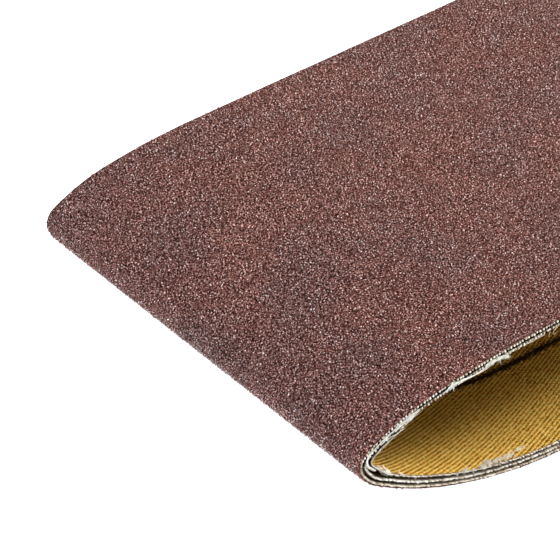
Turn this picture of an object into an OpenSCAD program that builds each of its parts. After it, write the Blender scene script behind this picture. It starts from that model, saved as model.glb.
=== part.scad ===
// Pack of three cloth abrasive belts, nested one inside the other and flattened.
// X runs along the belts, Y across their width, Z up. The origin is at the middle
// of the bottom run's underside. Every belt is a closed loop whose layers, from the
// grit inwards, are grain coat, make coat, backing cloth and back size; a film tape
// on the inside of the top run joins the cloth's two skew-cut ends.

/* [Belt] */
// Width of each belt
belt_width = 75; // [40:1:120]
// Length of the outer belt around its loop, at the middle of its cloth
belt_length = 533; // [500:1:620]
// Running clearance between one belt and the next
belt_gap = 0.1; // [0.08:0.01:0.2]

/* [Layers] */
// Thickness of the yellow back size on the inside face
back_size_t = 0.04; // [0.03:0.01:0.08]
// Thickness of the backing cloth
cloth_t = 0.42; // [0.3:0.01:0.6]
// Thickness of the make coat that bonds the grain
make_coat_t = 0.06; // [0.04:0.01:0.1]
// Thickness of the grain coat, grains and size coat together
grain_coat_t = 0.2; // [0.12:0.01:0.4]

/* [Splice] */
// Angle between the splice and the belt's edge, in degrees
splice_angle = 65; // [55:1:80]
// Width of the butt gap between the cloth's two ends
butt_gap = 0.1; // [0.05:0.01:0.3]
// Width of the splice tape, square to the splice
tape_w = 20; // [12:1:24]
// Thickness of the splice tape
tape_t = 0.12; // [0.06:0.01:0.16]
// Distance from the sagging stretch's end to the tape, on the outer belt
outer_splice_inset = 4; // [3:1:20]
// The same on the middle belt, whose splice lies towards the other end
middle_splice_inset = 4; // [3:1:16]
// The same on the inner belt
inner_splice_inset = 12; // [3:1:18]

/* [Fold] */
// Radius left inside the innermost belt at each fold
fold_r = 0.84; // [0.6:0.02:2]
// Turn of the fold above its tip, in degrees
fold_turn_up = 61.6; // [56:0.2:66]
// Turn of the fold below its tip, in degrees
fold_turn_down = 25.8; // [22:0.2:27]
// Further turn below the tip of the inner belt, which stands off there
inner_belt_turn = 12; // [9:1:14]

/* [Top run] */
// Radius of the shoulder between the fold and the crown
shoulder_r = 33.1; // [25:0.1:50]
// Turn of the shoulder, in degrees
shoulder_turn = 20.6; // [12:0.2:22]
// Radius of the crown between the shoulder and the flat top run
crown_r = 117; // [80:1:160]
// How far each inner belt's top run sags below the belt above it
sag_drop = 0.35; // [0.25:0.01:0.6]
// Radius of the two curves that each sag starts with
sag_r = 250; // [150:10:300]
// Distance from the outer belt's tip to the start of the sag
sag_start = 48; // [44:1:50]

/* [Bottom run] */
// Radius of the heel just below the fold
heel_r = 10; // [8:0.1:14]
// Turn of the heel, in degrees
heel_turn = 28.2; // [25:0.2:29]
// Radius of the belly between the heel and the flat bottom run
belly_r = 81; // [60:1:100]
// Turn from the tip at which the inner belt lies on the belly again, in degrees
inner_belt_rejoin = 57.5; // [56.5:0.5:58.5]

/* [Hidden] */
// Degrees per straight step along the fold, and along the wide curves
fold_step = 6;
curve_step = 3;
sag_steps = 3;
// A belt turns through a right angle from the tip to each run
run_turn = 90;
// Reach of a cutter past the solid that it cuts
over = 1;

// Layer depths from a belt's outer surface
make_depth = grain_coat_t;
cloth_depth = make_depth + make_coat_t;
back_depth = cloth_depth + cloth_t;
belt_t = back_depth + back_size_t;
neutral_depth = cloth_depth + cloth_t / 2;

// Belts are counted from the outside: 0 outer, 1 middle, 2 inner
belt_count = 3;
belt_pitch = belt_t + belt_gap;
tip_r = fold_r + belt_count * belt_t + (belt_count - 1) * belt_gap;

// Where each curve starts and ends, as the turn since the tip
shoulder_end = fold_turn_up + shoulder_turn;
heel_end = fold_turn_down + heel_turn;

// A run of curves is a list of [radius at the outer surface, turn at its end].
// side is 1 above the tip and -1 below it. Places are measured from the tip,
// inwards along X and up along Z.
function outward(turn, side) = [-cos(turn), side * sin(turn)];
function turn_before(arcs, j) = j == 0 ? 0 : arcs[j - 1][1];
function centre(arcs, side, j) = j == 0
    ? [arcs[0][0], 0]
    : centre(arcs, side, j - 1) + (arcs[j - 1][0] - arcs[j][0]) * outward(arcs[j - 1][1], side);
function place_at(arcs, side, j, turn) = centre(arcs, side, j) + arcs[j][0] * outward(turn, side);
function end_of(arcs, side) = place_at(arcs, side, len(arcs) - 1, arcs[len(arcs) - 1][1]);
function steps(turn, j) = max(1, ceil(turn / (j == 0 ? fold_step : curve_step)));
function quarter(arcs, side, depth) = [
    for (j = [0 : len(arcs) - 1])
        let (from = turn_before(arcs, j), turn = arcs[j][1] - from, n = steps(turn, j))
            for (i = [1 : n])
                centre(arcs, side, j) + (arcs[j][0] - depth) * outward(from + turn * i / n, side)
];

// Above the tip, every belt is a plain inward copy of the outer one
function upper_arcs(k) = let (inset = k * belt_pitch) [
    [tip_r - inset, fold_turn_up],
    [shoulder_r - inset, shoulder_end],
    [crown_r - inset, run_turn]
];
function lower_copy(k) = let (inset = k * belt_pitch) [
    [tip_r - inset, fold_turn_down],
    [heel_r - inset, heel_end],
    [belly_r - inset, run_turn]
];

// Below the tip, the inner belt turns further at the fold, stands off the belt around
// it, and lies on the belly again where its heel has the radius that meets it
function stands_off(k) = k == belt_count - 1;
function fold_turn(k) = fold_turn_down + (stands_off(k) ? inner_belt_turn : 0);
function rejoin(k) = place_at(lower_copy(k), -1, 2, inner_belt_rejoin);
function loose_heel_r(k) = (-rejoin(k)[1] - (tip_r - k * belt_pitch) * sin(fold_turn(k)))
    / (sin(inner_belt_rejoin) - sin(fold_turn(k)));
function lower_arcs(k) = !stands_off(k) ? lower_copy(k) : [
    [tip_r - k * belt_pitch, fold_turn(k)],
    [loose_heel_r(k), inner_belt_rejoin],
    [belly_r - k * belt_pitch, run_turn]
];
// The belly stays where it is, so the inner belt's tip draws back by what its heel saves
function tip_setback(k) = end_of(lower_copy(k), -1)[0] - end_of(lower_arcs(k), -1)[0];

// Sag of belt k's top run: one curve down and one back to level
function sag(k) = k * sag_drop;
function sag_turn(k) = acos(1 - sag(k) / (2 * sag_r));
function sag_centre(k) =
    [sag_start - k * belt_pitch - tip_setback(k), end_of(upper_arcs(k), 1)[1] - sag_r];
function sag_length(k) = 2 * sag_r * sin(sag_turn(k));
function sag_curves(k, depth) = sag(k) == 0 ? [] :
    let (down = sag_turn(k), back = sag_centre(k) + 2 * sag_r * outward(run_turn + down, 1))
        concat(
            [for (i = [0 : sag_steps])
                sag_centre(k) + (sag_r - depth) * outward(run_turn + down * i / sag_steps, 1)],
            [for (i = [1 : sag_steps])
                back - (sag_r + depth) * outward(run_turn + down * (1 - i / sag_steps), 1)]
        );

// The outer belt's length sets how far the tips stand from the middle
function arc_length(arcs, j, depth) =
    (arcs[j][0] - depth) * (arcs[j][1] - turn_before(arcs, j)) * PI / 180;
function quarter_length(arcs, depth) =
    arc_length(arcs, 0, depth) + arc_length(arcs, 1, depth) + arc_length(arcs, 2, depth);
function run_lengths(tip_x) = 2 * tip_x - end_of(upper_arcs(0), 1)[0] - end_of(lower_arcs(0), -1)[0];
curved_length = quarter_length(upper_arcs(0), neutral_depth) + quarter_length(lower_arcs(0), neutral_depth);
outer_tip_x = (belt_length / 2 - curved_length - run_lengths(0)) / 2;

// Heights of the outer surfaces above the ground
tip_z = -end_of(lower_arcs(0), -1)[1];
function tip_x(k) = outer_tip_x - k * belt_pitch - tip_setback(k);
function top_z(k) = tip_z + end_of(upper_arcs(k), 1)[1] - sag(k);

// Each splice lies where the top run is flat and the belt below has sagged clear of it
splice_skew = belt_width / 2 / tan(splice_angle);
half_tape = tape_w / 2 / sin(splice_angle);
function sagged_half(k) = outer_tip_x - sag_start - sag_length(k);
function splice_place(k, inset) =
    sagged_half(min(k + 1, belt_count - 1)) - inset - splice_skew - half_tape;
splice_x = [
    splice_place(0, outer_splice_inset),
    -splice_place(1, middle_splice_inset),
    splice_place(2, inner_splice_inset)
];

function reversed(list) = [for (i = [len(list) - 1 : -1 : 0]) list[i]];
function half_loop(k, depth) = [
    for (p = concat(
        reversed(quarter(lower_arcs(k), -1, depth)),
        [[depth, 0]],
        quarter(upper_arcs(k), 1, depth),
        sag_curves(k, depth)
    )) [p[0] - tip_x(k), p[1] + tip_z]
];
function loop(k, depth) = concat(
    half_loop(k, depth),
    [for (p = reversed(half_loop(k, depth))) [-p[0], p[1]]]
);

// The skew slit that the butt gap of belt k leaves in every layer of its top run
module butt_slit(k) {
    slit_h = belt_t + 2 * over;
    translate([splice_x[k], 0, top_z(k) - belt_t / 2])
        rotate([0, 0, splice_angle])
            cube([2 * belt_width, butt_gap, slit_h], center = true);
}

// One layer of belt k, between two depths from its outer surface
module layer(k, from_depth, to_depth) {
    difference() {
        rotate([90, 0, 0])
            linear_extrude(height = belt_width, center = true)
                difference() {
                    polygon(loop(k, from_depth));
                    polygon(loop(k, to_depth));
                }
        butt_slit(k);
    }
}

// Film tape under belt k's splice, cut flush with the belt's two edges
module splice_tape(k) {
    half_w = belt_width / 2;
    translate([splice_x[k], 0, top_z(k) - belt_t - tape_t])
        linear_extrude(height = tape_t)
            polygon([
                [-splice_skew - half_tape, -half_w],
                [-splice_skew + half_tape, -half_w],
                [splice_skew + half_tape, half_w],
                [splice_skew - half_tape, half_w]
            ]);
}

module grain_coat(k) color([0.42, 0.28, 0.25]) layer(k, 0, make_depth);
module make_coat(k) color([0.3, 0.14, 0.08]) layer(k, make_depth, cloth_depth);
module backing_cloth(k) color([0.88, 0.84, 0.76]) layer(k, cloth_depth, back_depth);
module back_size(k) color([0.74, 0.57, 0.25]) layer(k, back_depth, belt_t);
module film_tape(k) color([0.8, 0.72, 0.5]) splice_tape(k);

grain_coat(0);  // outer_grain_coat
make_coat(0);  // outer_make_coat
backing_cloth(0);  // outer_backing_cloth
back_size(0);  // outer_back_size
film_tape(0);  // outer_splice_tape
grain_coat(1);  // middle_grain_coat
make_coat(1);  // middle_make_coat
backing_cloth(1);  // middle_backing_cloth
back_size(1);  // middle_back_size
film_tape(1);  // middle_splice_tape
grain_coat(2);  // inner_grain_coat
make_coat(2);  // inner_make_coat
backing_cloth(2);  // inner_backing_cloth
back_size(2);  // inner_back_size
film_tape(2);  // inner_splice_tape
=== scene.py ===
import math

import bpy
import numpy as np
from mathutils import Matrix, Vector


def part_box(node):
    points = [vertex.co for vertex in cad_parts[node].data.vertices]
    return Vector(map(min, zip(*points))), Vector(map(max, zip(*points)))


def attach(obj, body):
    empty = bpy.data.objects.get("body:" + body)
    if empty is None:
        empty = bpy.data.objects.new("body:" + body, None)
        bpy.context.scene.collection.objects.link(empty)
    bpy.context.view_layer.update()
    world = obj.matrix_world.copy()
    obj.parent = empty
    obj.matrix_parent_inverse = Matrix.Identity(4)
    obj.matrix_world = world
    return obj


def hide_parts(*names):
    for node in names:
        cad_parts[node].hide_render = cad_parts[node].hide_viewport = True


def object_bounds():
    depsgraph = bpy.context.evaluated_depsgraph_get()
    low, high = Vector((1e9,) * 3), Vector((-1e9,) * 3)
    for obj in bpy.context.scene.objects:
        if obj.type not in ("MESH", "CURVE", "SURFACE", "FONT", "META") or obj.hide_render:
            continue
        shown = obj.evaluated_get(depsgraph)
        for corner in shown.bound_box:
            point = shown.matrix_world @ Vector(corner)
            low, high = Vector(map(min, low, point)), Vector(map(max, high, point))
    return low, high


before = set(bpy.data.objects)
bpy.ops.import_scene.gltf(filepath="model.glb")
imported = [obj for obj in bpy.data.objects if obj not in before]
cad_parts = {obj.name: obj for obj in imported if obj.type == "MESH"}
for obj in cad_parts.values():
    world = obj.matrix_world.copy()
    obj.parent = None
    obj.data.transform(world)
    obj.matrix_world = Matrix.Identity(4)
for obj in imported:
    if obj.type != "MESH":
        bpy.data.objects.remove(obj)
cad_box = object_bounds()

# Three cloth abrasive belts, nested and pressed flat. Each belt is made as it is in
# the works: flat, as a strip that runs from one side of its splice to the other, and
# then wrapped round its loop. A flat place is (along the belt from the splice, across
# its width, height above its outer face), and the frame gives the loop's outline.
# Lengths are in metres.

MM = 0.001
TURN = 2 * math.pi
BELTS = ("outer", "middle", "inner")
rng = np.random.default_rng(60)

# Outline of a loop
SAMPLE = 0.25 * MM            # spacing of the samples that a loop's outline is read to
TOP_BAND = 0.5 * MM           # depth, from the highest corner, of those that are the top run's
CURVE_BLUR = 1.6 * MM         # reach of the smoothing on the wide curves
FOLD_BLUR = 0.15 * MM         # the same at the folds
BLUR_SPAN = 3                 # reaches that a smoothing spans to either side
FOLD_ZONE = 7 * MM            # length of each end, from its tip, that is smoothed lightly
COLUMN_LENGTH = 6 * MM        # most that a strip's mesh runs on without a new column
COLUMN_TURN = math.radians(6)  # most that it turns
EDGE_WAVES = ((9, 1, 0.6), (23, 0, 0.4), (61, 2, 0.3))  # round the belt: count, phase, share
EDGE_WANDER = 0.05 * MM       # how far a cut edge strays from straight, at a share of 1

# Splice
BUTT_GAP = 0.1 * MM           # slit between the cloth's two ends
END_ALLOWANCE = 24 * MM       # strip beyond each end before the skew cut

# Cloth
WEFT_PITCH = 0.587 * MM       # from one weft yarn to the next, along the belt
WALE_PITCH = 0.65 * MM        # from one twill line to the next, across the belt
TWILL_SLOPE = 0.372           # how far the twill lines lean across the belt, along its length
WEFT_SLOPE = 0.09             # how far the weft leans along the belt, across its width
WALE_ROWS = 2                 # mesh rows in one twill line
WALE_RELIEF = 0.04 * MM       # height of the twill lines
FACE_THICKNESS = 0.03 * MM    # of the yellow filler
FACE_SPARE_ROWS = 4           # mesh rows of the filler that lie past the cut edges
FACE_INSET = {"outer": 0.6 * MM, "middle": 0.9 * MM, "inner": 0.06 * MM}  # from the cut edge
CLOTH_INSET = 0.26 * MM       # of the solid cloth from the cut edge, where its yarn ends stand out
CLOTH_ROWS = 4                # mesh rows across the solid cloth, and across the bond
LAYER_SMOOTH = math.radians(40)  # folds of a layer up to which it is shaded smooth
TWILL_SMOOTH = math.radians(60)  # the same for the twill's relief

# The inner belt's top run has slipped sideways near the folded end that it opens from
SLIP = 1.7 * MM
SLIP_START = (4 * MM, 16 * MM)     # distances from the tip between which it starts
SLIP_END = (62 * MM, 88 * MM)      # and between which it ends

# Grit
GRAIN_PITCH = {"outer": 0.43 * MM, "middle": 2.2 * MM, "inner": 2.2 * MM}  # along the belt
GRAIN_SIZE = 0.37 * MM        # height of a grain, with its foot, before the spreads below
GRAIN_KINDS = ((3, 0.1), (4, -0.2), (3, 0.25), (4, 0.1), (3, -0.3))  # sides and lean of each
GRAIN_FOOT = 0.56             # radius of a grain's foot, to its height
GRAIN_JITTER = 0.1            # most that its corners are out of true
GRAIN_SCALES = (0.65, 1.15)   # of a whole grain
GRAIN_STRETCHES = (0.8, 1.2)  # of it along each of its axes
GRAIN_TILT = 0.6              # most that it leans, in radians
GRAIN_SHAKE = 0.42            # most that it is off its place in the honeycomb, to the pitch
CROWNS = (0, 0.24 * MM)       # heights of the grains' tips over the outline
GRAIN_PANELS = {"outer": 9, "middle": 1, "inner": 1}  # pieces that a belt's grains are made in
GRAIN_TONE_SHARE = 0.38       # of a grain's tone that is the same all over it
GRAIN_TONE_SPREAD = 0.75      # of that share: below 1, most grains are dark or pale
EDGE_CLEAR = {"outer": 0.05 * MM, "middle": 0.3 * MM, "inner": 0.3 * MM}  # of the grains' places
SPLICE_CLEAR = 0.25 * MM      # the same at the splice
BED_DEPTH = 0.14 * MM         # size coat's surface, below the outline
BED_INSET = {"outer": -0.08 * MM, "middle": 0.36 * MM, "inner": 0.36 * MM}  # from the cut edge
BED_ROWS = 24                 # mesh rows across the size coat


# ---------------------------------------------------------------- camera

CAMERA_AZIMUTH = math.radians(-39.81)
CAMERA_ELEVATION = math.radians(37.61)
CAMERA_DISTANCE = 366.1 * MM
CAMERA_RIGHT = 13.01 * MM     # of the near fold's middle
CAMERA_UP = 9.03 * MM
CAMERA_LENS = 157.9           # millimetres
CAMERA_SENSOR = 36            # millimetres
CAMERA_CLIP = 10 * MM         # nearest that it sees


def make_camera(fold):
    """Looks down along the belts, from beyond the near fold and the near edge."""
    az, el = CAMERA_AZIMUTH, CAMERA_ELEVATION
    back = Vector((math.sin(az) * math.cos(el), -math.cos(az) * math.cos(el), math.sin(el)))
    right = Vector((math.cos(az), math.sin(az), 0))
    up = back.cross(right)
    data = bpy.data.cameras.new("camera")
    data.lens = CAMERA_LENS
    data.sensor_width = CAMERA_SENSOR
    data.clip_start = CAMERA_CLIP
    camera = bpy.data.objects.new("camera", data)
    camera.location = fold + right * CAMERA_RIGHT + up * CAMERA_UP + back * CAMERA_DISTANCE
    camera.rotation_mode = "QUATERNION"
    camera.rotation_quaternion = (-back).to_track_quat("-Z", "Y")
    bpy.context.scene.collection.objects.link(camera)
    bpy.context.scene.camera = camera


# ---------------------------------------------------------------- belts from the frame

def depth_of(belt, layer):
    """How deep a layer of a belt starts below its outer face."""
    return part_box(f"{belt}_grain_coat")[1].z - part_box(f"{belt}_{layer}")[1].z


def blurred(ring, reach):
    """A closed run of samples, smoothed over that reach."""
    half = max(1, int(BLUR_SPAN * reach / SAMPLE))
    kernel = np.exp(-0.5 * (np.arange(-half, half + 1) * SAMPLE / reach) ** 2)
    kernel /= kernel.sum()
    wide = np.concatenate([ring[-half:], ring, ring[:half]])
    return np.stack([np.convolve(wide[:, i], kernel, "valid") for i in range(2)], 1)


def reseed(name):
    """Gives what is made next its own run of chance, so that other pieces don't change it."""
    global rng
    rng = np.random.default_rng(list(name.encode()))


class Belt:
    """One belt's loop: the outline of its outer face, and how deep its layers lie."""

    def __init__(self, name):
        self.name = name
        self.body = f"{name}_belt"
        low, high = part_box(f"{name}_grain_coat")
        self.half_width = (high.y - low.y) / 2
        self.tip_x = high.x
        self.middle_z = (low.z + high.z) / 2
        self.make_depth = depth_of(name, "make_coat")
        self.cloth_depth = depth_of(name, "backing_cloth")
        self.back_depth = depth_of(name, "back_size")
        self.read_splice()
        self.read_outline()
        self.read_slip()

    def read_splice(self):
        """Where the splice crosses the middle of the belt, and how far it leans."""
        tape = np.array([v.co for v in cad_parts[f"{self.name}_splice_tape"].data.vertices])
        near = tape[tape[:, 1] < 0][:, 0]
        far = tape[tape[:, 1] > 0][:, 0]
        near_x = (near.min() + near.max()) / 2
        far_x = (far.min() + far.max()) / 2
        self.splice_x = (near_x + far_x) / 2
        self.splice_slope = (far_x - near_x) / (2 * self.half_width)

    def read_outline(self):
        """The outer face's corners, clockwise, then evenly sampled from the splice and smoothed."""
        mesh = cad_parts[f"{self.name}_grain_coat"].data
        spine = self.tip_x - (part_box(f"{self.name}_grain_coat")[1].z - self.middle_z)
        corners = set()
        for face in mesh.polygons:
            hub = Vector((min(max(face.center.x, -spine), spine), face.center.y, self.middle_z))
            if abs(face.normal.y) > 0.1 or face.normal.dot(face.center - hub) <= 0:
                continue
            for v in face.vertices:
                p = mesh.vertices[v].co
                if p.y < 0:
                    corners.add((round(p.x, 7), round(p.z, 7)))
        ring = np.array(sorted(corners, key=lambda p: -math.atan2(p[1] - self.middle_z, p[0])))
        steps = np.linalg.norm(np.roll(ring, -1, 0) - ring, axis=1)
        along = np.concatenate([[0], np.cumsum(steps)])
        self.length = along[-1]
        closed = np.concatenate([ring, ring[:1]])
        count = int(self.length / SAMPLE)
        top = np.abs(ring[:, 1] - ring[:, 1].max()) < TOP_BAND
        order = np.argsort(ring[top, 0])
        start = np.interp(self.splice_x, ring[top, 0][order], along[:-1][top][order])
        s = (start + np.arange(count) * self.length / count) % self.length
        even = np.stack([np.interp(s, along, closed[:, i]) for i in range(2)], 1)
        folded = (np.abs(even[:, 0]) - (self.tip_x - 2 * FOLD_ZONE)) / FOLD_ZONE
        folded = np.clip(folded, 0, 1)[:, None]
        even = blurred(even, CURVE_BLUR) * (1 - folded) + blurred(even, FOLD_BLUR) * folded
        tangent = np.roll(even, -1, 0) - np.roll(even, 1, 0)
        tangent /= np.linalg.norm(tangent, axis=1)[:, None]
        self.points = even
        self.tangents = tangent
        self.count = count
        self.tip_s = np.argmin(even[:, 0]) * self.length / count

    def read_slip(self):
        """How far the belt has slipped sideways at each sample: the inner one's upper half only."""
        from_tip = self.points[:, 0] + self.tip_x
        starts = np.clip((from_tip - SLIP_START[0]) / (SLIP_START[1] - SLIP_START[0]), 0, 1)
        ends = np.clip((SLIP_END[1] - from_tip) / (SLIP_END[1] - SLIP_END[0]), 0, 1)
        eased = starts ** 2 * (3 - 2 * starts) * ends ** 2 * (3 - 2 * ends)
        slips = self.name == BELTS[-1]
        self.slip = (SLIP * slips * eased * (self.points[:, 1] > self.middle_z))[:, None]

    def on_ring(self, values, s):
        """Values of the even samples, read at distances along the belt."""
        place = (np.asarray(s) % self.length) / self.length * self.count
        i = place.astype(int) % self.count
        t = (place - np.floor(place))[..., None]
        return values[i] * (1 - t) + values[(i + 1) % self.count] * t

    def wrap(self, flat):
        """Flat places, as places on the loop."""
        s, height = flat[..., 0], flat[..., 2]
        point = self.on_ring(self.points, s)
        along = self.on_ring(self.tangents, s)
        along /= np.linalg.norm(along, axis=-1)[..., None]
        out = np.empty(flat.shape)
        out[..., 0] = point[..., 0] - along[..., 1] * height
        out[..., 1] = flat[..., 1] + self.on_ring(self.slip, s)[..., 0]
        out[..., 2] = point[..., 1] + along[..., 0] * height
        return out

    def edge(self, s):
        """Half the belt's width at a distance along it: the cut edge wanders a little."""
        turn = TURN * np.asarray(s) / self.length
        waves = sum(np.sin(count * turn + phase) * share for count, phase, share in EDGE_WAVES)
        return self.half_width + EDGE_WANDER * waves

    def columns(self):
        """Distances along the strip at which its mesh gets a column, closer at the folds."""
        turn = np.abs(np.cross(self.tangents, np.roll(self.tangents, -1, 0)))
        effort = np.cumsum(turn / COLUMN_TURN + self.length / self.count / COLUMN_LENGTH)
        s = np.arange(self.count) * self.length / self.count
        inside = np.interp(np.linspace(0, effort[-1], int(effort[-1])), effort, s)
        before = inside[inside > self.length - END_ALLOWANCE] - self.length
        after = inside[inside < END_ALLOWANCE] + self.length
        return np.unique(np.round(np.concatenate([before, inside, after]), 6))


# ---------------------------------------------------------------- meshes

def deselect():
    bpy.ops.object.select_all(action="DESELECT")


def places_of(piece):
    """The places of a piece's corners, one row each."""
    co = np.empty(len(piece.data.vertices) * 3)
    piece.data.vertices.foreach_get("co", co)
    return co.reshape(-1, 3)


def set_places(piece, co):
    piece.data.vertices.foreach_set("co", np.ascontiguousarray(co, dtype=np.float32).ravel())
    piece.data.update()


def note_flat_places(piece, belt, flat):
    """Keeps a piece's flat places, along from the near fold's tip, which its pattern follows."""
    kept = piece.data.attributes.new("flat_place", "FLOAT_VECTOR", "POINT")
    from_tip = np.array(flat, dtype=np.float32)
    from_tip[:, 0] -= belt.tip_s
    kept.data.foreach_set("vector", from_tip.ravel())


def note_tones(piece, tones):
    """Keeps one number for each corner, which sets its grain or yarn apart from the next."""
    kept = piece.data.attributes.new("tone", "FLOAT", "POINT")
    kept.data.foreach_set("value", np.ascontiguousarray(tones, dtype=np.float32))


def build(name, places, faces):
    """A mesh object from arrays of places and of faces with one number of corners."""
    mesh = bpy.data.meshes.new(name)
    corners = faces.shape[1]
    mesh.vertices.add(len(places))
    mesh.loops.add(faces.size)
    mesh.polygons.add(len(faces))
    mesh.vertices.foreach_set("co", np.ascontiguousarray(places, dtype=np.float32).ravel())
    mesh.loops.foreach_set("vertex_index", np.ascontiguousarray(faces, dtype=np.int32).ravel())
    mesh.polygons.foreach_set("loop_start", np.arange(len(faces), dtype=np.int32) * corners)
    mesh.update(calc_edges=True)
    piece = bpy.data.objects.new(name, mesh)
    bpy.context.scene.collection.objects.link(piece)
    return piece


def dress(piece, belt, finish):
    """Gives a piece its finish and slot, and lets it ride on its belt."""
    piece.data.materials.append(finish)
    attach(piece, belt.body)
    return piece


def cut(place, normal, keep_front=False):
    """Cuts the active strip through a place, and keeps what lies before or behind the cut."""
    bpy.ops.object.mode_set(mode="EDIT")
    bpy.ops.mesh.select_all(action="SELECT")
    bpy.ops.mesh.bisect(
        plane_co=place, plane_no=normal, clear_inner=keep_front, clear_outer=not keep_front
    )
    bpy.ops.object.mode_set(mode="OBJECT")


def skew_cut(belt):
    """Cuts the active strip along both sides of its belt's splice."""
    across = Vector((1, -belt.splice_slope, 0)).normalized()
    cut((BUTT_GAP / 2, 0, 0), across, keep_front=True)
    cut((belt.length - BUTT_GAP / 2, 0, 0), across)


def thicken(piece, thickness, offset):
    """Gives the active strip its thickness, to one side of its face."""
    wall = piece.modifiers.new("thicken", "SOLIDIFY")
    wall.thickness = thickness
    wall.offset = offset
    bpy.ops.object.modifier_apply(modifier=wall.name)


def slab(name, belt, top, bottom, rows, inset=0.0):
    """A layer of a belt: a flat grid, cut at the splice, thickened, and wrapped."""
    deselect()
    columns = belt.columns()
    bpy.ops.mesh.primitive_grid_add(x_subdivisions=len(columns) - 1, y_subdivisions=rows, size=1)
    piece = bpy.context.object
    piece.name = name
    co = places_of(piece)
    i = np.rint((co[:, 0] + 0.5) * (len(columns) - 1)).astype(int)
    flat = np.zeros(co.shape)
    flat[:, 0] = columns[i]
    flat[:, 1] = 2 * co[:, 1] * (belt.edge(flat[:, 0]) - inset)
    set_places(piece, flat)
    skew_cut(belt)
    thicken(piece, top - bottom, -1)
    flat = places_of(piece)
    flat[:, 2] += top
    note_flat_places(piece, belt, flat)
    set_places(piece, belt.wrap(flat))
    bpy.ops.object.shade_smooth_by_angle(angle=LAYER_SMOOTH)
    return piece


def twill_face(name, belt):
    """The filler on the inside face, a grid whose rows run along the twill lines, cut at its
    edges and at the splice, thickened, and wrapped."""
    columns = belt.columns()
    row = WALE_PITCH / WALE_ROWS
    first = np.floor((-belt.half_width + columns * TWILL_SLOPE) / row).astype(int) - 1
    shift = first[1:] - first[:-1]
    first -= shift.max()
    rows = int(2 * belt.half_width / row) + FACE_SPARE_ROWS + 2 * shift.max()
    line = first[:, None] + np.arange(rows)[None, :]
    flat = np.empty((len(columns), rows, 3))
    flat[..., 0] = columns[:, None]
    flat[..., 1] = line * row - columns[:, None] * TWILL_SLOPE
    flat[..., 2] = -belt.back_depth - WALE_RELIEF * (line % WALE_ROWS) / (WALE_ROWS - 1)
    faces = []
    for i, d in enumerate(shift):
        m = np.arange(d, rows - 1)
        here, there = i * rows + m, (i + 1) * rows + m - d
        faces.append(np.stack([here, here + 1, there + 1, there], 1))
    piece = build(name, flat.reshape(-1, 3), np.concatenate(faces))
    deselect()
    piece.select_set(True)
    bpy.context.view_layer.objects.active = piece
    for side in (-1, 1):
        cut((0, side * (belt.half_width - FACE_INSET[belt.name]), 0), (0, side, 0))
    skew_cut(belt)
    thicken(piece, FACE_THICKNESS, 1)
    flat = places_of(piece)
    note_flat_places(piece, belt, flat)
    set_places(piece, belt.wrap(flat))
    bpy.ops.object.shade_smooth_by_angle(angle=TWILL_SMOOTH)
    return piece


# ---------------------------------------------------------------- grit

def unit_cone(sides, foot, top, jitter=0.0, lean=0.0):
    """Places and triangles of a cone of unit height, shaken out of true. It is then taken away."""
    deselect()
    bpy.ops.mesh.primitive_cone_add(vertices=sides, radius1=foot, radius2=top, depth=1)
    cone = bpy.context.object
    co = places_of(cone)
    co[:, 0] += lean * (co[:, 2] + 0.5)
    co += rng.uniform(-jitter, jitter, co.shape)
    cone.data.calc_loop_triangles()
    triangles = np.array([t.vertices[:] for t in cone.data.loop_triangles])
    bpy.data.objects.remove(cone)
    return co, triangles


def grain_shapes():
    """Pointed grains of unit height, with three or four sides, out of true and leaning."""
    return [unit_cone(sides, GRAIN_FOOT, 0, GRAIN_JITTER, lean) for sides, lean in GRAIN_KINDS]


def scattered(belt):
    """Flat places of grains: a shaken honeycomb, clear of the splice and the edges."""
    pitch = GRAIN_PITCH[belt.name]
    row = pitch * math.sqrt(3) / 2
    half = belt.half_width
    s, v = np.meshgrid(np.arange(0, belt.length, pitch), np.arange(-half, half, row))
    s = s + (np.arange(len(s)) % 2)[:, None] * pitch / 2
    places = np.stack([s.ravel(), v.ravel()], 1)
    places += rng.uniform(-GRAIN_SHAKE, GRAIN_SHAKE, places.shape) * pitch
    from_splice = (places[:, 0] - belt.splice_slope * places[:, 1]) % belt.length
    clear = np.minimum(from_splice, belt.length - from_splice) > SPLICE_CLEAR
    inside = np.abs(places[:, 1]) < belt.edge(places[:, 0]) - EDGE_CLEAR[belt.name]
    return places[clear & inside]


def turned(count, tilt):
    """Random turns: any way round, and a tilt up to that angle."""
    yaw = rng.uniform(0, TURN, count)
    lean = rng.uniform(0, tilt, count)
    way = rng.uniform(0, TURN, count)
    ca, sa, cl, sl = np.cos(yaw), np.sin(yaw), np.cos(lean), np.sin(lean)
    spin = np.zeros((count, 3, 3))
    spin[:, 0, 0], spin[:, 0, 1], spin[:, 1, 0], spin[:, 1, 1], spin[:, 2, 2] = ca, -sa, sa, ca, 1
    x, y = np.cos(way), np.sin(way)
    tip = np.zeros((count, 3, 3))
    tip[:, 0, 0] = cl + x * x * (1 - cl)
    tip[:, 0, 1] = tip[:, 1, 0] = x * y * (1 - cl)
    tip[:, 1, 1] = cl + y * y * (1 - cl)
    tip[:, 0, 2], tip[:, 2, 0] = y * sl, -y * sl
    tip[:, 1, 2], tip[:, 2, 1] = -x * sl, x * sl
    tip[:, 2, 2] = cl
    return tip @ spin


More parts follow.
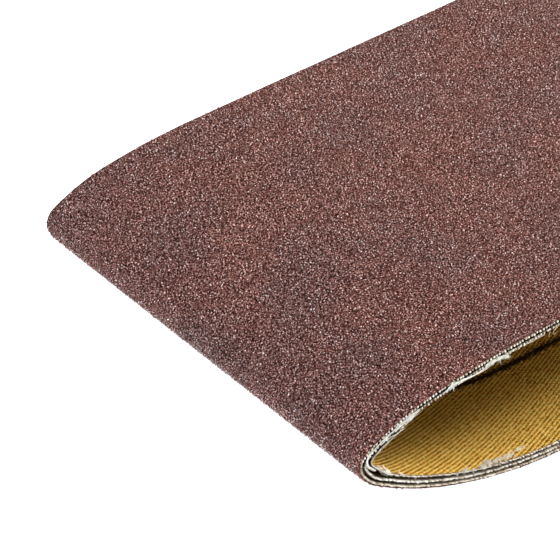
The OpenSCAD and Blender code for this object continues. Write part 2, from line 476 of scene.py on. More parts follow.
def heap(name, belt, groups):
    """One mesh of many copies: each group has its flat places, its triangles and its tones."""
    places, faces, tones, first = [], [], [], 0
    for local, triangles, tone in groups:
        count, corners = local.shape[:2]
        places.append(local.reshape(-1, 3))
        starts = first + np.arange(count) * corners
        faces.append((triangles[None] + starts[:, None, None]).reshape(-1, 3))
        tones.append(np.broadcast_to(tone.reshape(count, -1), (count, corners)).ravel())
        first += count * corners
    flat = np.concatenate(places)
    piece = build(name, belt.wrap(flat), np.concatenate(faces))
    note_tones(piece, np.concatenate(tones))
    note_flat_places(piece, belt, flat)
    return piece


def grit_panel(name, belt, places, shapes):
    """One stretch of grains, their tips at all heights and their feet cut off at the make coat."""
    kind = rng.integers(0, len(shapes), len(places))
    groups = []
    for k, (co, triangles) in enumerate(shapes):
        spot = places[kind == k]
        count = len(spot)
        scale = GRAIN_SIZE * rng.uniform(*GRAIN_SCALES, (count, 1))
        scale = scale * rng.uniform(*GRAIN_STRETCHES, (count, 3))
        local = np.einsum("nij,nkj->nki", turned(count, GRAIN_TILT), co[None] * scale[:, None])
        crown = rng.uniform(*CROWNS, count)
        local[..., 2] += (crown - local[..., 2].max(1))[:, None]
        foot = local[..., 2] < -belt.make_depth
        local[..., 2] = np.where(foot, -belt.make_depth, local[..., 2])
        local[..., :2] += spot[:, None, :]
        facets = rng.uniform(0, 1, (count, len(co)))
        whole = rng.beta(GRAIN_TONE_SPREAD, GRAIN_TONE_SPREAD, (count, 1))
        tone = GRAIN_TONE_SHARE * whole + (1 - GRAIN_TONE_SHARE) * facets
        groups.append((local, triangles, tone))
    return heap(name, belt, groups)


def grit(belt, finish, shapes):
    """All the grains of a belt, in panels along it."""
    reseed(f"{belt.name}_grit")
    places = scattered(belt)
    panels = GRAIN_PANELS[belt.name]
    for i in range(panels):
        low, high = belt.length * i / panels, belt.length * (i + 1) / panels
        here = places[(places[:, 0] >= low) & (places[:, 0] < high)]
        piece = grit_panel(f"{belt.name}_grit_{i + 1}", belt, here, shapes)
        dress(piece, belt, finish)


# ---------------------------------------------------------------- yarn ends and fray

WEFT_SHAKE = 0.16             # most that a weft yarn is off its place, to the pitch
YARN_END_ALONG = 0.235 * MM   # half width of a yarn's end, along the belt
YARN_END_DEEP = {"outer": 0.205 * MM, "middle": 0.205 * MM, "inner": 0.15 * MM}  # through the cloth
YARN_END_ROOT = 1.3 * CLOTH_INSET  # how far inside the cut edge it starts
YARN_END_REACH = {"outer": 0.18 * MM, "middle": 0.24 * MM, "inner": 0.1 * MM}  # most past the edge
YARN_END_SIDES = 6
YARN_END_TOP = 0.72           # girth of its tip, to its root's
YARN_END_LEAN = 0.045         # spread of its lean over its length, in millimetres
FUZZ_HAIRS = 2                # for each weft yarn
FUZZ_STRAY = 0.12 * MM        # of a hair from its yarn, along the belt
FUZZ_WIDTH = 0.035 * MM
FUZZ_CURL = 0.5
FUZZ_POINTS = 3
THREAD_SIDES = 3
THREAD_TIP = 0.4              # width of a thread's tip, to its start's
THREAD_STARTS = (-0.1, 0.72)  # of a loose yarn's threads, as shares of the yarn
THREAD_LENGTHS = (0.25, 0.8)
THREAD_STOPS = (0.88, 1)      # where they end if they would run on
THREAD_POINTS = 12            # along each
THREAD_CREEP = 0.02 * MM      # added along a thread, so that none stands still
WIDTH_SPREAD = (0.6, 1.4)     # of threads and hairs, to their usual width
ROUTE_STEPS = 40              # to which a loose yarn's route is smoothed
ROUTE_PASSES = 5              # of that smoothing
HAIRS_PER_MM = 100            # of a clump's radius
HAIR_WIDTH = 0.068 * MM
HAIR_LENGTHS = (0.9, 2.8)     # to the clump's radius
HAIR_CURL = 0.55              # how far a hair turns from one of its points to the next
HAIR_POINTS = 5
CLUMP_SPREAD = 0.45           # of the hairs' starts, to the clump's radius
UNALIGNED = np.array([0.3, 0.2, 0.93])  # a direction that threads seldom take
TINY = 1e-12                  # keeps a length from being nothing


def weft_places(belt):
    """Distances along the strip at which a weft yarn ends, on both edges."""
    reseed(f"{belt.name}_weft")
    count = int(belt.length / WEFT_PITCH)
    shake = rng.uniform(-WEFT_SHAKE, WEFT_SHAKE, count)
    return (np.arange(count) + 0.5 + shake) * belt.length / count


def yarn_ends(belt, finish):
    """The cut ends of the weft yarns: ragged stubs in a row along both edges."""
    co, triangles = unit_cone(YARN_END_SIDES, 1, YARN_END_TOP)
    middle = -(belt.cloth_depth + belt.back_depth) / 2
    groups = []
    for side in (-1, 1):
        s = weft_places(belt)
        count = len(s)
        out = co[None, :, 2] + 0.5 + rng.uniform(-0.1, 0.1, (count, len(co)))
        ragged = rng.uniform(0.85, 1.12, (count, len(co)))
        reach = YARN_END_REACH[belt.name] * rng.uniform(0.25, 1, count)
        lean = rng.normal(0, YARN_END_LEAN, (count, 2)) * MM
        local = np.empty((count, len(co), 3))
        local[..., 0] = s[:, None] + co[None, :, 0] * ragged * YARN_END_ALONG + out * lean[:, :1]
        root = belt.edge(s) - YARN_END_ROOT
        local[..., 1] = side * (root[:, None] + out * (YARN_END_ROOT + reach)[:, None])
        local[..., 2] = middle + co[None, :, 1] * ragged * YARN_END_DEEP[belt.name] + out * lean[:, 1:]
        local[..., 0] += belt.splice_slope * local[..., 1]
        # Laid across the belt, a cone is mirrored at the far edge, so its triangles turn round.
        groups.append((local, triangles[:, ::-1] if side > 0 else triangles, rng.uniform(0, 1, count)))
    return dress(heap(f"{belt.name}_yarn_ends", belt, groups), belt, finish)


def threads(name, belt, paths, widths):
    """Fine three-sided threads that follow paths in flat space, closed at both ends."""
    count, points = paths.shape[:2]
    tangent = np.gradient(paths, axis=1)
    tangent /= np.linalg.norm(tangent, axis=2)[..., None] + TINY
    side = np.cross(tangent, UNALIGNED)
    side /= np.linalg.norm(side, axis=2)[..., None] + TINY
    other = np.cross(tangent, side)
    taper = np.linspace(1, THREAD_TIP, points)[None, :, None] * widths[:, None, None] / 2
    turns = [TURN * k / THREAD_SIDES for k in range(THREAD_SIDES)]
    rings = [paths + (side * math.cos(a) + other * math.sin(a)) * taper for a in turns]
    local = np.stack(rings, 2).reshape(count, points * THREAD_SIDES, 3)
    corner = np.arange(points * THREAD_SIDES).reshape(points, THREAD_SIDES)
    triangles = [corner[0], corner[-1][::-1]]
    for k in range(THREAD_SIDES):
        j = (k + 1) % THREAD_SIDES
        a, b, c, d = corner[:-1, k], corner[1:, k], corner[1:, j], corner[:-1, j]
        triangles += [*np.stack([a, b, c], 1), *np.stack([a, c, d], 1)]
    triangles = np.array(triangles)[:, ::-1]
    return heap(name, belt, [(local, triangles, rng.uniform(0, 1, count))])


def walks(starts, heading, length, curl, points):
    """Paths of threads, each a walk that curls as it goes."""
    step = (length / (points - 1))[:, None]
    way = heading / np.linalg.norm(heading, axis=1)[:, None]
    path = [starts]
    for _ in range(points - 1):
        way = way + rng.normal(0, curl, way.shape)
        way /= np.linalg.norm(way, axis=1)[:, None]
        path.append(path[-1] + way * step)
    return np.stack(path, 1)


def edge_fuzz(belt, finish):
    """Short hairs all along both cut edges, from the yarn ends."""
    s = np.repeat(weft_places(belt), FUZZ_HAIRS)
    count = len(s)
    s = s + rng.normal(0, FUZZ_STRAY, count)
    side = rng.choice([-1.0, 1.0], count)
    depth = rng.uniform(belt.cloth_depth, belt.back_depth, count)
    v = side * (belt.edge(s) + rng.uniform(-0.1, 0.15, count) * MM)
    starts = np.stack([s + belt.splice_slope * v, v, -depth], 1)
    heading = np.stack([rng.normal(0, 0.8, count), side, rng.normal(0, 0.2, count)], 1)
    length = rng.gamma(2.0, 0.085, count) * MM
    paths = walks(starts, heading, length, FUZZ_CURL, FUZZ_POINTS)
    hairs = threads(f"{belt.name}_edge_fuzz", belt, paths, np.full(count, FUZZ_WIDTH))
    return dress(hairs, belt, finish)


def near_edge(places):
    """Flat places from ones along the outer belt from its tip, out past its near edge, and in
    from its outer face."""
    along, out, deep = places[..., 0], places[..., 1], places[..., 2]
    return np.stack([outer.tip_s + along, -outer.half_width - out, -deep], -1)


def frayed_yarn(name, belt, finish, count, spread, width, stray, twist, route):
    """A yarn that has worked loose at the near edge, in separate threads. Each row of its route
    is a place there, in millimetres, and the yarn's girth."""
    reseed(name)
    knots = np.array(route, dtype=float)
    ease = np.linspace(0, len(knots) - 1, ROUTE_STEPS)
    smooth = np.stack([np.interp(ease, range(len(knots)), knots[:, i]) for i in range(4)], 1)
    for _ in range(ROUTE_PASSES):
        smooth[1:-1] = (smooth[:-2] + smooth[1:-1] * 2 + smooth[2:]) / 4
    start = rng.uniform(*THREAD_STARTS, count)
    stop = np.minimum(start + rng.uniform(*THREAD_LENGTHS, count), rng.uniform(*THREAD_STOPS, count))
    at = np.clip(np.linspace(start, stop, THREAD_POINTS, axis=1), 0, 1) * (ROUTE_STEPS - 1)
    line = np.stack([np.interp(at, range(ROUTE_STEPS), smooth[:, i]) for i in range(4)], -1)
    girth = line[..., 3:]
    angle = rng.uniform(0, TURN, (count, 1)) + twist * TURN * at / ROUTE_STEPS
    radius = np.abs(rng.normal(0, spread, (count, 1)))
    around = np.stack([np.zeros(angle.shape), radius * np.cos(angle), radius * np.sin(angle)], -1)
    wave = np.cumsum(rng.normal(0, stray * spread, (count, THREAD_POINTS, 3)), 1)
    place = (line[..., :3] + (around + wave - wave[:, :1]) * girth) * MM
    place[..., 0] += np.linspace(0, THREAD_CREEP, THREAD_POINTS)
    widths = rng.uniform(*WIDTH_SPREAD, count) * width * MM
    return dress(threads(name, outer, near_edge(place), widths), belt, finish)


def tufts(name, belt, finish, spots):
    """Clumps of short curled hairs at the near edge. A spot is a clump's place there and its
    radius, in millimetres."""
    reseed(name)
    spots = np.repeat(np.array(spots), [int(HAIRS_PER_MM * spot[3]) for spot in spots], axis=0)
    count = len(spots)
    radius = spots[:, 3] * MM
    starts = near_edge(spots * MM) + rng.normal(0, CLUMP_SPREAD, (count, 3)) * radius[:, None]
    length = rng.uniform(*HAIR_LENGTHS, count) * radius
    paths = walks(starts, rng.normal(0, 1, (count, 3)), length, HAIR_CURL, HAIR_POINTS)
    hairs = threads(name, outer, paths, rng.uniform(*WIDTH_SPREAD, count) * HAIR_WIDTH)
    return dress(hairs, belt, finish)


# ---------------------------------------------------------------- finishes

class Wire:
    """A socket of a finish, which adds, multiplies and divides as a number does."""

    def __init__(self, finish, socket):
        self.finish = finish
        self.socket = socket

    def math(self, operation, *others):
        sockets = dict(enumerate((self,) + others))
        return self.finish.node("ShaderNodeMath", {"operation": operation}, sockets)

    def __add__(self, other):
        return self.math("ADD", other)

    __radd__ = __add__

    def __sub__(self, other):
        return self.math("SUBTRACT", other)

    def __rsub__(self, other):
        return self.finish.node("ShaderNodeMath", {"operation": "SUBTRACT"}, {0: other, 1: self})

    def __mul__(self, other):
        return self.math("MULTIPLY", other)

    __rmul__ = __mul__

    def __truediv__(self, other):
        return self.math("DIVIDE", other)

    def __pow__(self, other):
        return self.math("POWER", other)

    def cos(self):
        return self.math("COSINE")

    def __abs__(self):
        return self.math("ABSOLUTE")

    def clamped(self, low=0.0, high=1.0):
        return self.math("MAXIMUM", low).math("MINIMUM", high)


class Finish:
    """A material of one principled shader, whose nodes are made as they are called for."""

    def __init__(self, name, **constants):
        self.material = bpy.data.materials.new(name)
        self.material.use_nodes = True
        self.tree = self.material.node_tree
        self.tree.nodes.clear()
        output = self.tree.nodes.new("ShaderNodeOutputMaterial")
        self.shader = self.tree.nodes.new("ShaderNodeBsdfPrincipled")
        self.tree.links.new(self.shader.outputs[0], output.inputs["Surface"])
        for socket, value in constants.items():
            self.shader.inputs[socket.replace("_", " ")].default_value = value

    def put(self, socket, value):
        if isinstance(value, Wire):
            self.tree.links.new(value.socket, socket)
        elif hasattr(value, "__len__") and len(value) == 3 and socket.type == "RGBA":
            socket.default_value = (*value, 1)
        else:
            socket.default_value = value

    def node(self, kind, settings=None, sockets=None, output=0):
        made = self.tree.nodes.new(kind)
        for name, value in (settings or {}).items():
            if name == "stops":
                for i, (place, colour) in enumerate(value):
                    stop = made.color_ramp.elements[i] if i < 2 else made.color_ramp.elements.new(place)
                    stop.position = place
                    stop.color = (*colour, 1)
            else:
                setattr(made, name, value)
        for name, value in (sockets or {}).items():
            self.put(made.inputs[name], value)
        return Wire(self, made.outputs[output])

    def feed(self, socket, value):
        self.put(self.shader.inputs[socket], value)

    def place(self):
        return self.node("ShaderNodeTexCoord", output="Object")

    def noise(self, scale, detail=2.0, roughness=0.5):
        return self.node("ShaderNodeTexNoise", {}, {
            "Vector": self.place(), "Scale": scale, "Detail": detail, "Roughness": roughness
        })

    def mix(self, factor, a, b, blend="MIX"):
        settings = {"data_type": "RGBA", "blend_type": blend}
        return self.node("ShaderNodeMix", settings, {0: factor, 6: a, 7: b}, output=2)

    def ramp(self, factor, stops):
        return self.node("ShaderNodeValToRGB", {"stops": stops}, {0: factor})

    def attribute(self, name, output):
        return self.node("ShaderNodeAttribute", {"attribute_name": name}, output=output)

    def bump(self, height, distance):
        self.feed("Normal", self.node(
            "ShaderNodeBump", {}, {"Height": height, "Distance": distance}, output="Normal"
        ))

    def split(self, vector):
        """The three parts of a vector."""
        parts = self.node("ShaderNodeSeparateXYZ", {}, {0: vector}).socket.node.outputs
        return [Wire(self, part) for part in parts]


def flat_axes(finish):
    """Distances along the belt from the tip, across it, and up from its outer face."""
    return finish.split(finish.attribute("flat_place", "Vector"))


# What is laid over the grit's colour: the scale and detail of a noise, and its tints
GRIT_TINTS = (
    (70, 3, [(0.38, (0.93, 0.96, 0.98)), (0.62, (1.07, 0.99, 0.97))]),    # greyer, redder
    (380, 2, [(0.3, (0.96, 0.96, 0.96)), (0.7, (1.04, 1.04, 1.04))]),     # darker, paler
    (4600, 1, [(0.34, (0.13, 0.04, 0.03)), (0.66, (1.86, 2.18, 2.25))]),  # dark and bright specks, the bright ones greyed as painted glints
)


def patches(finish, colour):
    """The grit's colour, under its patches and specks."""
    for scale, detail, tints in GRIT_TINTS:
        tint = finish.ramp(finish.noise(scale, detail), tints)
        colour = finish.mix(1.0, colour, tint, "MULTIPLY")
    return colour


GRIT_TONES = [
    (0.0, (0.026, 0.005, 0.004)),
    (0.3, (0.150, 0.043, 0.033)),
    (0.62, (0.400, 0.180, 0.148)),
    (1.0, (0.780, 0.580, 0.535)),
]
GRIT_DARK = 0.17 * MM         # depth below which a grain is darkest
GRIT_RISE = 0.2 * MM          # height over which it gets paler from there
SIZE_CELLS = 3900             # cells of the size coat, to the metre


def fused_alumina():
    """The grains, darker towards their feet, partly as resin pooled there and partly as painted shade
    between them, and each of its own tone.
    """
    f = Finish("fused_alumina", Roughness=0.4, Specular_IOR_Level=0.2)
    height = flat_axes(f)[2]
    tone = f.attribute("tone", "Fac")
    lift = ((height + GRIT_DARK) / GRIT_RISE).clamped()
    f.feed("Base Color", patches(f, f.ramp(lift * 0.5 + tone * 0.62 - 0.1, GRIT_TONES)))
    return f.material


def size_resin():
    """The size coat that the grains stand in, patterned as the small ones between them, darker at the
    edges of its cells as painted shade between those.
    """
    f = Finish("size_resin", Roughness=0.5, Specular_IOR_Level=0.12)
    cells = {"Vector": f.place(), "Scale": SIZE_CELLS}
    cell = f.node("ShaderNodeTexVoronoi", {}, cells, output="Distance")
    tint = Wire(f, cell.socket.node.outputs["Color"])
    tone = f.node("ShaderNodeSeparateColor", {}, {0: tint})
    f.feed("Base Color", patches(f, f.ramp(0.42 - cell * 0.75 + tone * 0.5, GRIT_TONES)))
    f.bump(1 - cell, 0.25 * MM)
    return f.material


def make_resin():
    """The bond under the grains, a dark line at the cut edge: the resin's own dark brown, darkened
    further as painted shade in the gaps between the belts.
    """
    f = Finish("make_resin", Roughness=0.6, Specular_IOR_Level=0.1)
    lumps = f.noise(2600)
    f.feed("Base Color", f.ramp(lumps, [(0.3, (0.008, 0.003, 0.002)), (0.7, (0.03, 0.014, 0.01))]))
    f.bump(lumps, 0.03 * MM)
    return f.material


def cloth_core():
    """The solid cloth, seen only between its yarn ends, painted dark brown as the shade there rather
    than in cotton's own colour.
    """
    f = Finish("cloth_core", Roughness=0.95, Specular_IOR_Level=0.05)
    soft = f.noise(2100)
    f.feed("Base Color", f.ramp(soft, [(0.35, (0.07, 0.05, 0.035)), (0.7, (0.24, 0.19, 0.14))]))
    f.bump(soft, 0.05 * MM)
    return f.material


COTTON_TONES = [
    (0.0, (0.34, 0.29, 0.23)),
    (0.35, (0.66, 0.60, 0.52)),
    (0.6, (0.86, 0.82, 0.76)),
    (1.0, (0.94, 0.93, 0.90)),
]
COTTON_TINTS = {"outer": (1.0, 0.94, 0.84), "middle": (0.97, 0.98, 0.95), "inner": (1.0, 0.95, 0.89)}


def raw_cotton(name, tint, lift=0.0):
    """Undyed cotton, each yarn of its own tone."""
    stops = [(place, tuple(c * t for c, t in zip(colour, tint))) for place, colour in COTTON_TONES]
    f = Finish(name, Roughness=0.9, Specular_IOR_Level=0.1)
    soft = f.noise(3000)
    tone = f.attribute("tone", "Fac")
    f.feed("Base Color", f.ramp(tone * 0.8 + soft * 0.5 + (lift - 0.15), stops))
    f.bump(f.noise(9000), 0.02 * MM)
    return f.material


YELLOW_TONES = [
    (0.0, (0.05, 0.018, 0.0005)),
    (0.3, (0.235, 0.120, 0.004)),
    (0.62, (0.515, 0.306, 0.038)),
    (1.0, (0.80, 0.60, 0.18)),
]
YELLOW_TINTS = [(0.4, (1.06, 0.93, 0.84)), (0.6, (0.98, 1.03, 1.06))]  # warmer, cooler
DRIFT = 0.3                   # most that the weave is out of true, in its own pitches
YELLOW_LEVEL = 2.17           # tone of the filler before what darkens it
GROOVE_SHADE = 0.28           # painted shade between the twill lines
STITCH_LIGHT = 0.62           # painted light on the weft
FLECK_SHADE = 2.4             # where it is worn in flecks
BLOTCH_SHADE = 0.6            # and in broader blotches

# The dark line along the inside
# Dark colour of the line, and of the painted shade on the rims
LINE_AND_SHADE_DARK = (0.012, 0.007, 0.004)
LINE_DARK_SHARE = 0.97               # share of the dark colour in it
LINE_PLACE = -19.2 * MM       # across the belt
LINE_WIDTH = 1.15 * MM
LINE_WANDER = 0.725 * MM      # how far it strays to either side
LINE_RUN = 261 * MM           # about half a belt's length, in which it does so twice
LINE_PHASE = 2.6
LINE_RAGGED = 3.6             # how torn its edges are

# Painted shade over a rim beside the cut edges, dark as the gaps between the belts
PAINTED_SHADE_RIM = {"outer": 4 * MM, "middle": 4 * MM, "inner": 0}
PAINTED_SHADE_FADE = 0.6 * MM
PAINTED_SHADE_SHARE = 0.92


def yellow_back(name, rim):
    """Yellow filler over the twill: painted shade in the grooves between its lines and in a dark pit at
    each crossing, painted light on the weft, and worn in flecks and blotches. It has the dark line, and
    painted shade over the width of the rim."""
    f = Finish(name, Roughness=0.78, Specular_IOR_Level=0.03)
    along, across, _ = flat_axes(f)
    drift = f.noise(240) * DRIFT
    line = (across + along * TWILL_SLOPE) / WALE_PITCH + drift
    stitch = (along + across * WEFT_SLOPE) / WEFT_PITCH + drift
    groove = 0.5 - (line * TURN).cos() * 0.5
    weft = 0.5 + (stitch * TURN).cos() * 0.5
    # Painted shade in a pit at each crossing of the twill
    pit = (groove ** 2) * (weft ** 1.5)
    worn = (1 - f.noise(3400, 2, 0.6)) * FLECK_SHADE + (1 - f.noise(1100)) * BLOTCH_SHADE
    tone = (YELLOW_LEVEL - groove * GROOVE_SHADE - pit - worn + weft * STITCH_LIGHT).clamped()
    tint = f.ramp(f.noise(1700), YELLOW_TINTS)
    cloth = f.mix(1.0, f.ramp(tone, YELLOW_TONES), tint, "MULTIPLY")
    wander = (along / LINE_RUN * (2 * TURN) + LINE_PHASE).math("SINE") * LINE_WANDER
    gap = abs(across - wander - LINE_PLACE) / (LINE_WIDTH / 2)
    blot = (f.noise(800) * 2.6 - 0.1).clamped(0.5, 2)
    ragged = (f.noise(3000) - 0.5) * LINE_RAGGED
    darkening = (1.5 - gap / blot + ragged).clamped() * LINE_DARK_SHARE
    # Painted shade over the rim beside the cut edges, dark as the shadowed gaps between the belts
    if rim:
        painted_shade = ((abs(across) - (outer.half_width - rim)) / PAINTED_SHADE_FADE).clamped() * PAINTED_SHADE_SHARE
        darkening = darkening.math("MAXIMUM", painted_shade)
    f.feed("Base Color", f.mix(darkening, cloth, LINE_AND_SHADE_DARK))
    f.bump(tone, 0.1 * MM)
    return f.material


STRAND_PITCH = 0.8 * MM
STRAND_SLOPE = 0.9


def splice_film():
    """Clear film over the splice, with slanting strands in it."""
    f = Finish("splice_film", Roughness=0.35)
    along, across, _ = f.split(f.place())
    strand = ((along + across * STRAND_SLOPE) * (TURN / STRAND_PITCH)).cos() * 0.5 + 0.5
    f.feed("Base Color", f.ramp(strand, [(0.2, (0.50, 0.36, 0.13)), (0.8, (0.66, 0.52, 0.25))]))
    f.bump(strand, 0.04 * MM)
    return f.material


# ---------------------------------------------------------------- studio

WHITE = (1, 1, 1, 1)
FLOOR_SIZE = 6
FLOOR_DROP = 0.25 * MM        # of the floor under the solids, for the grains that stand out there
FLOOR_PAINT = (0.7, 0.7, 0.7, 1)
FLOOR_GLOW = 0.95             # what the floor adds for the camera, to stand white
WORLD_LIGHT = 0.1             # strength of the world, for all but the camera
LAMP_AIM = (-0.1, 0, 0.01)

# Each lamp's place, size, power and colour
LAMPS = {
    "right": ((0.7, -0.25, 0.7), 0.34, 14, (1.0, 0.93, 0.88)),
    "left": ((-1.05, 0.06, 0.4), 0.26, 11.8, (0.72, 0.9, 1.0)),
    "low_front": ((-0.1, -1.1, 0.06), 0.12, 7.5, (1.0, 1.0, 1.0)),
    "back": ((-0.5, 0.55, 0.75), 0.42, 1.2, (1.0, 1.0, 1.0)),
}


def make_floor():
    deselect()
    bpy.ops.mesh.primitive_plane_add(size=FLOOR_SIZE, location=(0, 0, cad_box[0].z - FLOOR_DROP))
    floor = bpy.context.object
    floor.name = "floor"
    f = Finish(
        "floor_paint", Base_Color=FLOOR_PAINT, Roughness=0.95, Specular_IOR_Level=0, Emission_Color=WHITE
    )
    f.feed("Emission Strength", f.node("ShaderNodeLightPath", output="Is Camera Ray") * FLOOR_GLOW)
    floor.data.materials.append(f.material)


def make_lamp(name, place, size, power, tint):
    data = bpy.data.lights.new(name, "AREA")
    data.shape = "SQUARE"
    data.size = size
    data.energy = power
    data.color = tint
    lamp = bpy.data.objects.new(name, data)
    lamp.location = place
    lamp.rotation_mode = "QUATERNION"
    lamp.rotation_quaternion = (Vector(LAMP_AIM) - Vector(place)).to_track_quat("-Z", "Y")
    bpy.context.scene.collection.objects.link(lamp)


def make_world():
    """Dim to the object, and white to the camera."""
    world = bpy.data.worlds.new("studio")
    world.use_nodes = True
    tree = world.node_tree
    tree.nodes.clear()
    output = tree.nodes.new("ShaderNodeOutputWorld")
    paths = tree.nodes.new("ShaderNodeLightPath")
    mixed = tree.nodes.new("ShaderNodeMixShader")
    tree.links.new(paths.outputs["Is Camera Ray"], mixed.inputs[0])
    for side, strength in ((1, WORLD_LIGHT), (2, 1)):
        light = tree.nodes.new("ShaderNodeBackground")
        light.inputs["Color"].default_value = WHITE
        light.inputs["Strength"].default_value = strength
        tree.links.new(light.outputs[0], mixed.inputs[side])
    tree.links.new(mixed.outputs[0], output.inputs["Surface"])
    bpy.context.scene.world = world


# ---------------------------------------------------------------- the pack

belts = [Belt(name) for name in BELTS]
outer = belts[0]
tip_height = float(outer.points[np.argmin(outer.points[:, 0]), 1])
make_camera(Vector((-outer.tip_x, 0, tip_height)))

alumina = fused_alumina()
resin = size_resin()
bond = make_resin()
core = cloth_core()
cotton = {name: raw_cotton(f"{name}_cotton", tint) for name, tint in COTTON_TINTS.items()}
bleached = raw_cotton("bleached_cotton", (1.02, 1.04, 1.02), 0.22)
tan = raw_cotton("tan_cotton", (0.86, 0.70, 0.50))
yellow = {name: yellow_back(f"{name}_yellow_back", rim) for name, rim in PAINTED_SHADE_RIM.items()}
film = splice_film()
shapes = grain_shapes()


# Yarns worked loose from the near edge: belt, finish, threads, spread, width of each thread,
# stray and twist, then the route. Lengths are in millimetres.
LOOSE_YARNS = {
    "middle_fray": ("middle", bleached, 24, 0.15, 0.085, 0.4, 0, [
        (5.5, 0.15, 0.9, 0.7), (8, 0.2, 0.95, 1), (10.5, 0.25, 1.0, 1.1), (12.3, 0.25, 1.0, 1),
        (13.6, 0.25, 1.05, 0.6)
    ]),
    "middle_wisp": ("middle", bleached, 12, 0.12, 0.13, 0.08, 1.5, [
        (17.3, 0.25, 0.95, 0.5), (18.6, 0.3, 0.85, 1.2), (19.8, 0.3, 0.75, 1.5), (21.2, 0.3, 0.9, 1.2),
        (22.3, 0.3, 1.1, 0.7), (23.5, 0.3, 1.3, 0.4), (24.8, 0.3, 1.4, 0.4), (26.2, 0.3, 1.15, 0.7),
        (27.6, 0.3, 1.0, 1.2), (29, 0.3, 1.1, 1.4), (30.6, 0.3, 1.5, 1.0)
    ]),
    "middle_wisp_2": ("middle", bleached, 12, 0.17, 0.12, 0.1, 0.5, [
        (17.8, 0.3, 0.9, 0.6), (18.8, 0.3, 0.75, 1), (19.8, 0.3, 0.6, 1.1), (21, 0.3, 0.7, 1),
        (22.4, 0.3, 1.05, 0.5)
    ]),
    "middle_wisp_3": ("middle", bleached, 9, 0.15, 0.11, 0.15, 0.5, [
        (26.2, 0.3, 0.9, 0.6), (27.4, 0.3, 0.8, 1), (28.8, 0.3, 0.85, 1.2), (30.4, 0.3, 1.1, 1.2)
    ]),
    "middle_selvage": ("middle", cotton["middle"], 10, 0.035, 0.09, 0.1, 1, [
        (31.2, 0.1, 1.25, 1), (33.0, 0.1, 1.4, 1), (35.5, 0.1, 1.52, 1), (38.5, 0.1, 1.65, 0.8)
    ]),
    "middle_hook": ("middle", tan, 5, 0.03, 0.09, 0.1, 0, [
        (39.3, 0.2, 1.5, 1), (39.0, 0.3, 1.85, 1), (38.9, 0.3, 2.2, 1), (39.2, 0.3, 2.35, 1)
    ]),
    "middle_curl": ("middle", tan, 7, 0.03, 0.09, 0.1, 0, [
        (41.0, 0.1, 1.45, 1), (40.5, 0.3, 1.4, 1), (39.8, 0.3, 1.6, 1), (39.8, 0.3, 2.0, 1),
        (40.0, 0.3, 2.4, 1), (40.5, 0.3, 2.3, 1), (40.7, 0.3, 2.0, 1), (40.4, 0.3, 1.75, 1)
    ]),
    "middle_fold_yarn": ("middle", bleached, 20, 0.13, 0.14, 0.07, 1, [
        (7.5, 0.15, 0.85, 0.6), (6.0, 0.15, 0.85, 0.8), (4.5, 0.15, 0.85, 0.9), (3.2, 0.15, 0.9, 1.0),
        (2.0, 0.15, 1.05, 1.2), (1.0, 0.15, 1.35, 1.3), (-0.5, 0.15, 1.7, 1.2), (-2.0, 0.15, 2.0, 0.9),
        (-3.6, 0.12, 2.2, 0.5)
    ]),
    "inner_selvage": ("inner", cotton["inner"], 10, 0.035, 0.08, 0.05, 1, [
        (9.7, 0.1, 2.2, 1), (8.5, 0.1, 2.15, 1), (6.7, 0.1, 2.05, 1), (5.0, 0.1, 2.0, 1),
        (3.5, 0.1, 2.15, 1), (1.5, 0.1, 2.25, 1), (-1.2, 0.1, 2.4, 1), (-2.5, 0.1, 2.6, 1),
        (-4.2, 0.1, 2.75, 1)
    ]),
    "inner_fray": ("inner", cotton["middle"], 26, 0.15, 0.1, 0.45, 0, [
        (-3.1, 0.1, 2.7, 0.8), (-4.6, 0.15, 2.8, 1), (-6.6, 0.2, 2.45, 1), (-8.1, 0.2, 2.2, 0.8)
    ]),
    "inner_thread": ("inner", bleached, 9, 0.09, 0.13, 0.08, 0.5, [
        (-4.2, 0.05, 3.45, 0.5), (-5.9, 0.1, 3.1, 0.8), (-7.1, 0.15, 2.65, 1), (-8.6, 0.2, 2.1, 1)
    ]),
    "inner_thread_2": ("inner", cotton["inner"], 6, 0.06, 0.12, 0.08, 0.5, [
        (-9.2, 0.05, 2.85, 0.5), (-10.9, 0.1, 2.45, 1), (-12.4, 0.1, 2.2, 1)
    ]),
}

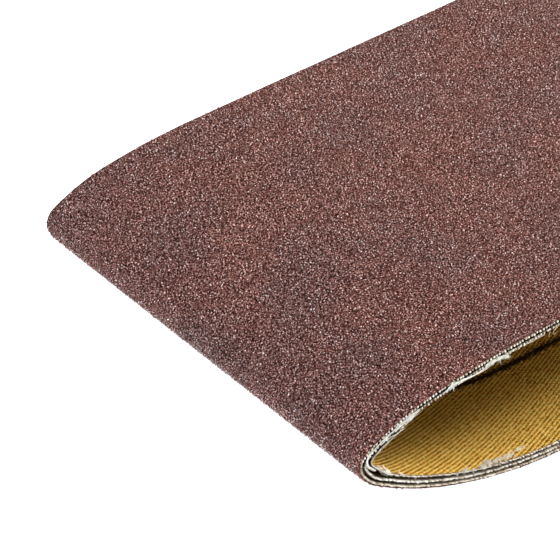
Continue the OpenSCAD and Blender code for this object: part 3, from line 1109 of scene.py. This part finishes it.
# Clumps of hairs there: belt, finish, and the spots
CLUMPS = {
    "middle_tufts": ("middle", bleached, [
        (19.6, 0.3, 0.55, 0.34), (27.4, 0.3, 0.95, 0.27), (28.7, 0.3, 1.0, 0.34),
        (30.2, 0.3, 1.35, 0.34), (30.7, 0.3, 1.7, 0.2), (6.5, 0.15, 0.8, 0.27), (9.2, 0.2, 0.75, 0.34),
        (11.4, 0.25, 0.8, 0.34)
    ]),
    "inner_tufts": ("inner", bleached, [
        (-23.9, 0.1, 1.95, 0.2), (-25.4, 0.15, 2.5, 0.3), (-25.5, 0.15, 2.9, 0.16),
        (-27.4, 0.1, 2.3, 0.27)
    ]),
    "inner_fluff": ("inner", bleached, [
        (-29.3, 0.1, 2.75, 0.34), (-30.0, 0.1, 3.05, 0.41), (-30.4, 0.1, 3.25, 0.3),
        (-31.0, 0.1, 2.85, 0.3), (-31.9, 0.1, 3.05, 0.27), (-32.5, 0.1, 3.1, 0.27),
        (-33.2, 0.1, 3.1, 0.3), (-34.2, 0.1, 3.1, 0.3), (-34.9, 0.1, 3.45, 0.27),
        (-35.4, 0.1, 3.25, 0.27), (-36.0, 0.1, 3.45, 0.24), (-36.9, 0.1, 3.95, 0.22),
        (-37.5, 0.1, 4.05, 0.2), (-38.2, 0.1, 4.1, 0.16)
    ]),
}


for belt in belts:
    inset = BED_INSET[belt.name]
    bed = slab(f"{belt.name}_size_coat", belt, -BED_DEPTH, -belt.make_depth, BED_ROWS, inset)
    dress(bed, belt, resin)
    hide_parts(f"{belt.name}_grain_coat")
    grit(belt, alumina, shapes)
    rests_on = f"{belt.name}_make_coat"
    if belt.name == BELTS[-1]:
        # This belt's bond has slipped with it, as the solid one has not.
        rests_on = "inner_bond"
        coat = slab(rests_on, belt, -belt.make_depth, -belt.cloth_depth, CLOTH_ROWS)
        dress(coat, belt, bond)
        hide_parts("inner_make_coat")
    depths = -belt.cloth_depth, -belt.back_depth
    cloth = slab(f"{belt.name}_cloth", belt, *depths, CLOTH_ROWS, CLOTH_INSET)
    dress(cloth, belt, core)
    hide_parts(f"{belt.name}_backing_cloth")
    face = twill_face(f"{belt.name}_twill_face", belt)
    dress(face, belt, yellow[belt.name])
    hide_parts(f"{belt.name}_back_size")
    frayed = [yarn_ends(belt, cotton[belt.name]), edge_fuzz(belt, bleached)]
    for name, (of, *yarn) in LOOSE_YARNS.items():
        if of == belt.name:
            frayed.append(frayed_yarn(name, belt, *yarn))
    for name, (of, *clump) in CLUMPS.items():
        if of == belt.name:
            frayed.append(tufts(name, belt, *clump))
    for layer, finish in (("make_coat", bond), ("splice_tape", film)):
        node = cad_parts[f"{belt.name}_{layer}"]
        node.data.materials.clear()
        node.data.materials.append(finish)

make_floor()
make_world()
for name, settings in LAMPS.items():
    make_lamp(name, *settings)
bpy.context.scene.view_settings.view_transform = "Standard"
